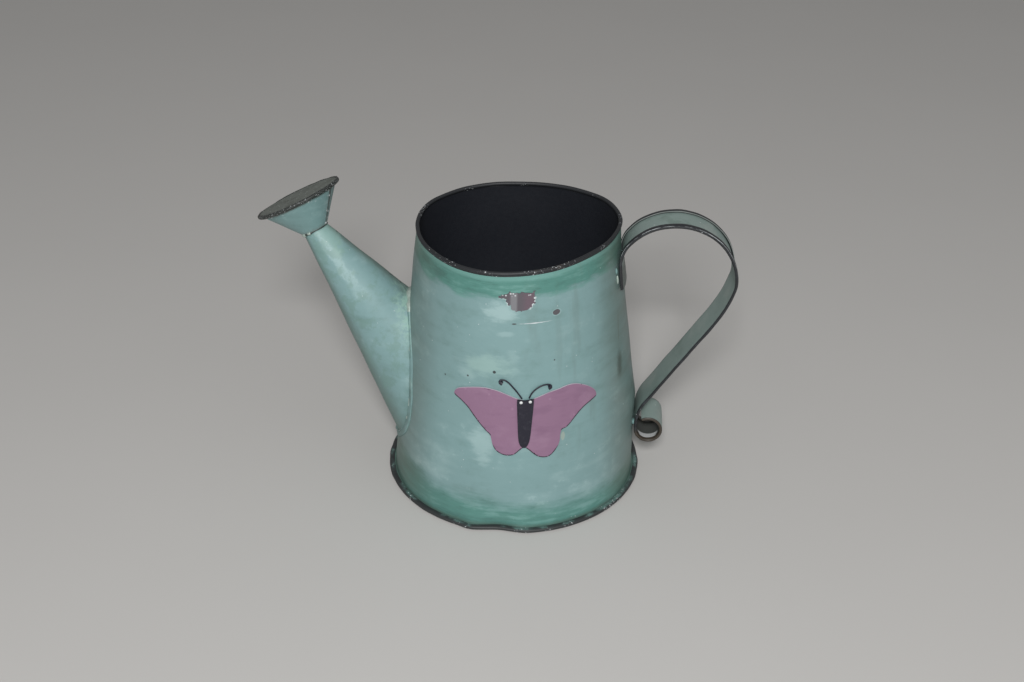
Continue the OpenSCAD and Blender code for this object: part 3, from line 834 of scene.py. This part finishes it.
def makeSpoutSolder():
    n = spout["around"]

    def along(j):
        here = footSpots[j % n]
        wallOut = Vector((here.x, here.y, 0)).normalized()
        coneOut = spoutOut(j)
        middle = here + (wallOut + coneOut) * 0.15
        return middle, wallOut, (coneOut - wallOut * coneOut.dot(wallOut)).normalized()

    def size(j):
        here = footSpots[j % n]
        lumps = max(ripple(here, 5, 4), 0)
        return 0.42 + lumps * 0.9 + top(j) * 1.3 * (1 + 0.8 * ripple(here, 2.5, 8))

    def top(j):
        return ease((0.5 - 0.5 * math.cos(math.tau * j / n) - 0.86) / 0.14)

    def bare(j):
        lumps = ease((ripple(footSpots[j % n], 3, 4) - 0.12) / 0.2)
        return max(top(j), lumps * 0.8), 0, 0

    bead("spoutSolder", n, along, size, bare, ("spout_solder",))


makeSpout()
makeSpoutSolder()


# Rose
def roseSpot(radius, angle, height):
    return Vector((radius * math.cos(angle), radius * math.sin(angle), height))


def makeRose():
    t, end, neck = rose["sheet"], rose["endRadius"], rose["neckRadius"]
    top = rose["depth"] - 1.1
    rows = [k / 16 for k in range(17)]
    outline = [(neck + (end - neck) * k, top * k) for k in rows]
    outline += [(end + 0.9, top + 0.02), (end + 0.9, top + t)]
    outline += [(neck + (end - neck) * k - 0.6, top * k + (t if k == 1 else 0))
                for k in reversed(rows)]
    bm = lathe(outline, rose["around"], closed=True)
    for v in bm.verts:
        a = math.degrees(math.atan2(v.co.y, v.co.x))
        behind = (a - rose["lapTurn"]) % 360 / rose["lapWidth"]
        r = math.hypot(v.co.x, v.co.y)
        push = rose["lap"] * max(1 - behind, 0) * ease((top - v.co.z) / 3)
        push += 0.2 * ripple(v.co, 9, 2) * ease((top - v.co.z) / 4)
        v.co = Vector((v.co.x * (1 + push / r), v.co.y * (1 + push / r), v.co.z))
    lay = bm.verts.layers.float_vector.new("lay")
    for v in bm.verts:
        a = math.degrees(math.atan2(v.co.y, v.co.x))
        v[lay] = Vector((wrapped(a - rose["lapTurn"]), v.co.z, 0))
    bmesh.ops.transform(bm, matrix=roseFrame, verts=bm.verts)
    addPiece("roseCone", bm, [paints["rose"]], ("rose_cone",), 50)


def makeFace():
    # The plate is filled between its edge and the punched holes, then thickened
    bm = bmesh.new()
    level = rose["depth"] - rose["sheet"]
    bmesh.ops.create_circle(bm, segments=96, radius=rose["radius"] - 0.9,
                            matrix=Matrix.Translation((0, 0, level)))
    for ring in range(rose["rings"] + 1):
        for k in range(max(6 * ring, 1)):
            a = math.tau * k / max(6 * ring, 1)
            spot = roseSpot(ring * rose["pitch"], a, level)
            spot += Vector((ripple(spot, 3, 1), ripple(spot, 3, 7), 0)) * 0.35
            bmesh.ops.create_circle(bm, segments=14, radius=rose["holeRadius"],
                                    matrix=Matrix.Translation(spot))
    bmesh.ops.triangle_fill(bm, use_beauty=True, edges=bm.edges)
    made = bmesh.ops.extrude_face_region(bm, geom=bm.faces[:])["geom"]
    bmesh.ops.translate(bm, vec=(0, 0, rose["sheet"]), verts=newest(made, bmesh.types.BMVert))
    bmesh.ops.recalc_face_normals(bm, faces=bm.faces)
    plateFaces = len(bm.faces)
    # The folded rim
    lip = lathe([(rose["radius"] + r, rose["depth"] + z) for r, z in rose["rim"]],
                rose["around"], closed=True)
    for v in lip.verts:
        r = math.hypot(v.co.x, v.co.y)
        push = 0.3 * ripple(v.co, 4, 9) + 0.25 * ripple(v.co, 12, 4)
        v.co += Vector((v.co.x / r * push, v.co.y / r * push, 0.5 * push))
    mesh = bpy.data.meshes.new("lip")
    lip.to_mesh(mesh)
    lip.free()
    bm.from_mesh(mesh)
    bpy.data.meshes.remove(mesh)
    bm.faces.ensure_lookup_table()
    for face in bm.faces[plateFaces:]:
        face.material_index = 1
    bmesh.ops.transform(bm, matrix=roseFrame, verts=bm.verts)
    addPiece("roseFace", bm, [paints["face"], paints["lip"]],
             ("rose_face",), 40)


def makeNeckSolder():
    count = 96
    turned = roseFrame.to_3x3()

    def along(j):
        a = math.tau * j / count
        out = turned @ Vector((math.cos(a), math.sin(a), 0))
        return neckSpot + out * (rose["neckRadius"] - 0.15) - roseAxis * 0.1, out, roseAxis

    def blob(j):
        a = 360 * j / count
        return sum(math.exp(-(wrapped(a - at) / wide) ** 2) * tall
                   for at, wide, tall in rose["blobs"])

    def size(j):
        return 0.3 + blob(j) * 0.9 + 0.15 * ripple((j / 8, 0, 0), 1, 3)

    def bare(j):
        return min(blob(j) * 1.5, 1), 1, 0

    bead("neckSolder", count, along, size, bare, ("rose_neck_solder",))


makeRose()
makeFace()
makeNeckSolder()


# Handle
handle = {
    "width": 19, "sheet": 0.5, "hem": 1.5, "hemWidth": 3,
    "start": (50.45, 104.5), "lean": 8.0,
    # Steps along the strip: a length, or a radius and a turn, left is plus
    "steps": [(11,), (12.8, -46), (27.2, -142.5), (11.4, -14.5), (68, -18.2), (51.3,),
              (25, 33.2), (2.2,), (6.7, 300)],
    "stepAngle": 4, "stepLength": 2.5,
    "twist": 2.6, "twistAt": 80, "twistSpan": 45, "waves": 0.25, "skew": 2.2,
    "tab": 12, "tabRadius": 49, "scroll": 185,     # lengths along, and the wall's radius
    # Solder at the tab: side, height, half height and how bare. At the foot: degrees from
    # the handle, height and how bare
    "tabSolder": [(-1, 108.6, 2.1, 1), (-1, 113, 1.6, 0.1), (1, 107.5, 2.4, 1),
                  (1, 112, 1.8, 0.2)],
    "footSolder": [(-7, 30.2, 0.2), (0, 29.4, 0.3), (6, 30.6, 0.8), (-4, 28.6, 0.2), (4, 28.4, 1)],
    "tabTurn": 87.4, "tabSpread": 11.6,
}
paints["handle"] = handlePaint()


def handlePath():
    # Points along the strip's middle, with headings, in the X-Z plane
    spot, head = Vector(handle["start"]), math.radians(90 + handle["lean"])
    path = [(spot.copy(), head)]
    for step in handle["steps"]:
        if len(step) == 1:
            parts = max(round(step[0] / handle["stepLength"]), 1)
            for _ in range(parts):
                spot = spot + Vector((math.cos(head), math.sin(head))) * (step[0] / parts)
                path.append((spot.copy(), head))
        else:
            radius, turn = step[0], math.radians(step[1])
            parts = max(round(max(abs(step[1]) / handle["stepAngle"],
                                  radius * abs(turn) / handle["stepLength"])), 1)
            for _ in range(parts):
                chord = 2 * radius * math.sin(abs(turn) / parts / 2)
                head += turn / parts / 2
                spot = spot + Vector((math.cos(head), math.sin(head))) * chord
                head += turn / parts / 2
                path.append((spot.copy(), head))
    return path


def hemSection():
    # One half of the section from the inner side's middle to the outer side's
    t, h, half = handle["sheet"], handle["hem"], handle["width"] / 2
    outer, inner = h / 2, h / 2 - t
    fold, middle = half - outer, h / 2 - t / 2
    side = [(y, -t / 2) for y in (0, 3, 6)]
    side += [(fold + outer * math.cos(a), middle + outer * math.sin(a))
             for a in [math.radians(-90 + 22.5 * k) for k in range(9)]]
    free = half - handle["hemWidth"]
    side += [(free + 0.1, middle + outer), (free, middle + outer - 0.12),
             (free, middle + inner + 0.12), (free + 0.1, middle + inner)]
    side += [(fold + inner * math.cos(a), middle + inner * math.sin(a))
             for a in [math.radians(90 - 45 * k) for k in range(5)]]
    side += [(6, t / 2), (3, t / 2), (0, t / 2)]
    return side


def makeHandle():
    half = hemSection()
    section = half + [(-y, n) for y, n in reversed(half[1:-1])]
    path = handlePath()
    lengths = [0.0]
    for (a, _), (b, _) in zip(path, path[1:]):
        lengths.append(lengths[-1] + (b - a).length)

    def place(i, j):
        (spot, head), (y, n) = path[j], section[i]
        run = lengths[j]
        side = 1 if y > 0 else -1
        wave = ripple((run, side * 40, 0), 11, 2)
        if abs(y) > 6.2 and n > 0.3:
            y += side * 0.35 * ripple((run, side * 9, n), 6, 8)
        free = ease(run / 20) * ease((lengths[-1] + 12 - run) / 30)
        twist = handle["twist"] * math.exp(-((run - handle["twistAt"]) / handle["twistSpan"]) ** 2)
        lift = n + handle["waves"] * wave * free * abs(y) / (handle["width"] / 2)
        lift -= math.tan(math.radians(twist)) * y
        left = Vector((-math.sin(head), math.cos(head)))
        flat = spot + left * lift
        # The tab slants towards the front and bends round the wall
        low = ease(1 - run / 24)
        y -= handle["skew"] * low
        flat.x += low * (math.sqrt(handle["tabRadius"] ** 2 - y * y) - handle["tabRadius"] + 0.6)
        return Vector((flat.x, y + 0.3 * ripple((run, 0, 0), 30, 5) * free, flat.y))

    def mark(i, j):
        return Vector((section[i][0], lengths[j], section[i][1]))

    bm = loft(len(section), len(path), place, mark)
    addPiece("handleStrip", bm, [paints["handle"]], ("handle_strip",), 35)


def blobs(name, spots, nodes):
    # Flattened dabs of solder: middle, the three half sizes, the way out and how bare
    bm = bmesh.new()
    lay = bm.verts.layers.float_vector.new("lay")
    for middle, sizes, out, bare in spots:
        turn = Vector(out).to_track_quat("Z", "Y").to_matrix().to_4x4()
        matrix = Matrix.Translation(middle) @ turn @ Matrix.Diagonal((*sizes, 1))
        made = bmesh.ops.create_uvsphere(bm, u_segments=24, v_segments=14, radius=1, matrix=matrix)
        for v in made["verts"]:
            v.co += (v.co - Vector(middle)) * 0.35 * ripple(v.co, 1.8, 3)
            v[lay] = Vector((bare, 0, 0))
    addPiece(name, bm, [paints["solder"]], nodes, sharp=80)


def makeHandleSolder():
    tab = []
    for side, z, tall, bare in handle["tabSolder"]:
        turn = handle["tabTurn"] + side * handle["tabSpread"]
        a = math.radians(turn)
        out = (math.sin(a), -math.cos(a), 0.1)
        tab.append((onWall(turn, z, 0.15), (0.55, tall, 0.5), out, bare))
    foot = [(onWall(90 + turn, z, 0.35), (1.7, 1.3, 0.8), (1, 0, 0), bare)
            for turn, z, bare in handle["footSolder"]]
    blobs("tabSolder", tab, ("handle_top_solder",))
    blobs("footSolder", foot, ("handle_foot_solder",))


makeHandle()
makeHandleSolder()


# Butterfly
butterfly = {
    "turn": 9.4, "height": 57, "wingLean": -3.5, "plateLean": -1.5, "sheet": 0.5, "glue": 0.2,
    "wingOutline": [(0, 11.5), (3, 12.5), (9.5, 15), (14, 16), (18, 17), (21.5, 17), (25, 15.8),
                    (28.5, 13.8), (31.3, 11.3), (32.4, 9), (32.3, 7.6), (30, 6.4), (26.3, 4.3),
                    (23.3, 1.2), (20.8, -2), (19, -3.8), (17, -4.6), (16.4, -7), (16.3, -10.5),
                    (15.2, -13.5), (13.2, -16.3), (10.8, -17.7), (7.5, -17.4), (5, -16), (2, -13.4),
                    (0, -12.2), (-2, -13.8), (-4.2, -16), (-7, -16.8), (-9.7, -16.4), (-12.4, -14.8),
                    (-14, -12), (-14.9, -8.5), (-15.6, -7), (-17.5, -5.4), (-20.3, -2.4),
                    (-23.2, 1.2), (-25.8, 4.6), (-28.8, 7.2), (-31.1, 8.7), (-31.5, 9.8),
                    (-30.9, 11.5), (-29.4, 12.9), (-26.2, 14.3), (-22, 15.6), (-18, 16.1),
                    (-13.5, 15.6), (-9, 14.1), (-4.5, 12.4)],
    "plateOutline": [(-3.7, 11.6), (-3.1, 12.5), (-1.5, 12.2), (0, 12.1), (1.5, 12.3), (3.1, 12.5),
                     (3.7, 11.6), (3.4, 5), (3.1, 0), (2.8, -5), (2.3, -9), (1.3, -11.3),
                     (0, -12), (-1.3, -11.3), (-2.3, -9), (-2.8, -5), (-3.1, 0), (-3.4, 5)],
    "leftFeeler": [(-2.6, 12.6), (-4.8, 15.6), (-6.8, 18), (-8.8, 20.1), (-10.6, 21.3),
                   (-12.2, 21.2), (-12.6, 20.2), (-11.6, 19.6)],
    "rightFeeler": [(0.6, 12.8), (1.7, 15.3), (3.6, 17.3), (5.9, 18.6), (8, 19), (9.6, 18.7),
                    (10.1, 17.7), (9.1, 17.3)],
    "plateShift": -0.6, "edge": 0.55, "tipLift": 0.5, "feelerRadius": 0.45, "feelerSides": 12,
    "eyes": [(-2.5, 11.1), (1.5, 11.3)], "eyeRadius": 0.75, "eyeLift": 0.35,
}


def curveThrough(points, steps, closed):
    # A smooth curve through the points
    n = len(points)

    def at(i):
        return Vector(points[i % n] if closed else points[min(max(i, 0), n - 1)])

    curve = []
    for i in range(n if closed else n - 1):
        a, b, c, d = at(i - 1), at(i), at(i + 1), at(i + 2)
        for s in range(steps):
            t = s / steps
            curve.append((2 * b + (c - a) * t + (2 * a - 5 * b + 4 * c - d) * t * t
                          + (3 * b - a - 3 * c + d) * t ** 3) / 2)
    return curve if closed else curve + [at(n - 1)]


def onFly(u, v, lean, lift):
    # A place on the butterfly, across and up from its middle, laid on the wall
    a = math.radians(lean)
    across, height = u * math.cos(a) - v * math.sin(a), u * math.sin(a) + v * math.cos(a)
    height += butterfly["height"]
    turn = butterfly["turn"] + math.degrees(math.asin(across / wallRadius(butterfly["turn"], height)))
    return onWall(turn, height, lift)


def plate(name, outline, lean, lift, materials, nodes, lifted):
    # A flat outline, cut into small cells, thickened and bent round the wall; lifted(u, v)
    # bends it away from the wall
    bm = bmesh.new()
    verts = [bm.verts.new((p.x, p.y, 0)) for p in outline]
    edges = [bm.edges.new(pair) for pair in zip(verts, verts[1:] + verts[:1])]
    bmesh.ops.triangle_fill(bm, use_beauty=True, edges=edges)
    low, high = min(p.x for p in outline), max(p.x for p in outline)
    across, upward = (1, 0, 0), (0, 1, 0)
    cuts = [(x, across) for x in range(math.ceil(low), math.ceil(high), 2)]
    cuts += [(y, upward) for y in (-16, -12, -8, -4)] + [(0, across)]
    cuts += [(y, upward) for y in (4, 8, 12, 16)]
    for distance, way in cuts:
        bmesh.ops.bisect_plane(bm, geom=bm.verts[:] + bm.edges[:] + bm.faces[:],
                               plane_co=Vector(way) * distance, plane_no=way)
    bmesh.ops.recalc_face_normals(bm, faces=bm.faces)
    # lay marks the outline: its lower edges get a painted shadow and its upper edges a painted
    # highlight
    lay = bm.verts.layers.float_vector.new("lay")
    for v in bm.verts:
        inwards = sum((e.other_vert(v).co - v.co for e in v.link_edges if not e.is_boundary),
                      Vector())
        ends = [e.other_vert(v).co for e in v.link_edges if e.is_boundary]
        if len(ends) == 2:
            along = ends[0] - ends[1]
            out = Vector((along.y, -along.x, 0)).normalized()
            out *= 1 if out.dot(inwards) < 0 else -1
            v[lay] = Vector((ease((-out.y - 0.3) / 0.3), ease((out.y - 0.3) / 0.3), 0))
    bmesh.ops.inset_region(bm, faces=bm.faces[:], thickness=butterfly["edge"], use_boundary=True,
                           use_even_offset=True)
    for v in bm.verts:
        if not v.is_boundary:
            v[lay] = Vector()
    made = bmesh.ops.extrude_face_region(bm, geom=bm.faces[:])["geom"]
    bmesh.ops.translate(bm, vec=(0, 0, butterfly["sheet"]), verts=newest(made, bmesh.types.BMVert))
    bmesh.ops.recalc_face_normals(bm, faces=bm.faces)
    # Side faces that face up take the painted highlight, the rest the painted shade
    for face in bm.faces:
        if abs(face.normal.z) < 0.5 and len(materials) > 1:
            face.material_index = 1 if face.normal.y > 0.15 else 2
    edge = [e for e in bm.edges if len(e.link_faces) == 2 and e.calc_face_angle(0) > 1]
    bmesh.ops.bevel(bm, geom=edge, offset=0.12, offset_type="OFFSET", segments=2, profile=0.5,
                    affect="EDGES", material=-1, clamp_overlap=True)
    for v in bm.verts:
        v.co = onFly(v.co.x, v.co.y, lean, lift + v.co.z + lifted(v.co.x, v.co.y))
    bmesh.ops.recalc_face_normals(bm, faces=bm.faces)
    if bm.calc_volume(signed=True) < 0:
        # So thin a bent sheet can come out facing inwards
        bmesh.ops.reverse_faces(bm, faces=bm.faces)
    addPiece(name, bm, materials, nodes, 40)


def feeler(name, route, nodes):
    path = curveThrough(route, 4, False)
    spots = [onFly(p.x, p.y, butterfly["wingLean"], butterfly["glue"] + butterfly["feelerRadius"])
             for p in path]

    def place(i, j):
        ahead = spots[min(j + 1, len(spots) - 1)] - spots[max(j - 1, 0)]
        out = Vector((spots[j].x, spots[j].y, 0)).normalized()
        side = ahead.cross(out).normalized()
        top = side.cross(ahead).normalized()
        a = math.tau * i / butterfly["feelerSides"]
        # It swells towards the curled end
        r = butterfly["feelerRadius"] * (0.8 + 1.5 * ease(j / len(spots) * 2.6 - 1.6))
        return spots[j] + (side * math.cos(a) + top * math.sin(a)) * r

    bm = loft(butterfly["feelerSides"], len(spots), place)
    addPiece(name, bm, [paints["insect"]], nodes, 60)


def makeEyes():
    bm = bmesh.new()
    lift = 2 * butterfly["glue"] + 2 * butterfly["sheet"]
    for u, v in butterfly["eyes"]:
        middle = onFly(u, v, butterfly["plateLean"], lift)
        out = Vector((middle.x, middle.y, 0)).normalized()
        turn = out.to_track_quat("Z", "Y").to_matrix().to_4x4()
        r = butterfly["eyeRadius"]
        bmesh.ops.create_uvsphere(
            bm, u_segments=20, v_segments=12, radius=1,
            matrix=Matrix.Translation(middle) @ turn
            @ Matrix.Diagonal((r, r, butterfly["eyeLift"], 1)))
    addPiece("eyes", bm, [paints["eye"]], (), 80)


plate("wings", curveThrough(butterfly["wingOutline"], 4, True), butterfly["wingLean"],
      butterfly["glue"], [paints["wing"], paints["wingHighlight"], paints["wingShade"]],
      ("butterfly_wings",),
      lambda u, v: butterfly["tipLift"] * ease((abs(u) - 16) / 16))
plateOutline = [(u + butterfly["plateShift"], v) for u, v in butterfly["plateOutline"]]
plate("insectPlate", curveThrough(plateOutline, 3, True),
      butterfly["plateLean"], 2 * butterfly["glue"] + butterfly["sheet"],
      [paints["insect"]], ("butterfly_body",), lambda u, v: 0)
feeler("feelerLeft", butterfly["leftFeeler"], ("antenna_left",))
feeler("feelerRight", butterfly["rightFeeler"], ("antenna_right",))
makeEyes()


# Floor, light and camera
studio = {
    "floor": shade(200, 198, 195), "world": 0.25, "key": 13.2, "keySize": 0.26,
    "keyAt": (0.06, -1.05, 0.86), "fill": 0.5, "fillSize": 0.9, "fillAt": (0.9, -0.5, 0.9),
    "cameraAt": (40.22, -597.2, 425.54), "pitch": 30.87, "heading": 4, "roll": 0.67,
    "lens": 51.33, "aim": (0, 0, 0.06), "cloth": shade(176, 174, 171),
}


def areaLight(name, energy, size, spot):
    data = bpy.data.lights.new(name, "AREA")
    data.energy, data.size = energy, size
    lamp = bpy.data.objects.new(name, data)
    lamp.location = spot
    away = Vector(spot) - Vector(studio["aim"])
    lamp.rotation_euler = away.to_track_quat("Z", "Y").to_euler()
    scene.collection.objects.link(lamp)


def makeStudio():
    bm = bmesh.new()
    bmesh.ops.create_grid(bm, x_segments=2, y_segments=2, size=4)
    mesh = bpy.data.meshes.new("floor")
    bm.to_mesh(mesh)
    bm.free()
    floor = bpy.data.objects.new("floor", mesh)
    scene.collection.objects.link(floor)
    cloth = Paint("floorCloth")
    soft = cloth.grain(120, 3, 0.5)
    mesh.materials.append(cloth.finish(
        cloth.layers(studio["floor"], (soft * 0.15, studio["cloth"])), 0.9))

    world = bpy.data.worlds.new("studio")
    scene.world = world
    world.use_nodes = True
    back = world.node_tree.nodes["Background"]
    back.inputs["Color"].default_value = (1, 1, 1, 1)
    back.inputs["Strength"].default_value = studio["world"]
    areaLight("keyLight", studio["key"], studio["keySize"], studio["keyAt"])
    areaLight("fillLight", studio["fill"], studio["fillSize"], studio["fillAt"])

    pitch, roll = math.radians(studio["pitch"]), math.radians(studio["roll"])
    ahead = Vector((0, math.cos(pitch), -math.sin(pitch)))
    right, down = Vector((1, 0, 0)), Vector((0, -math.sin(pitch), -math.cos(pitch)))
    x = right * math.cos(roll) - down * math.sin(roll)
    y = (right * math.sin(roll) + down * math.cos(roll)) * -1
    turned = Matrix((x, y, -ahead)).transposed().to_4x4()
    data = bpy.data.cameras.new("camera")
    data.lens, data.sensor_width, data.clip_start = studio["lens"], 36, 0.01
    camera = bpy.data.objects.new("camera", data)
    camera.matrix_world = (Matrix.Translation(Vector(studio["cameraAt"]) * mm)
                           @ Matrix.Rotation(math.radians(studio["heading"]), 4, "Z") @ turned)
    scene.collection.objects.link(camera)
    scene.camera = camera
    scene.view_settings.view_transform = "Standard"


makeStudio()
print("studio ready")

bpy.context.view_layer.update()
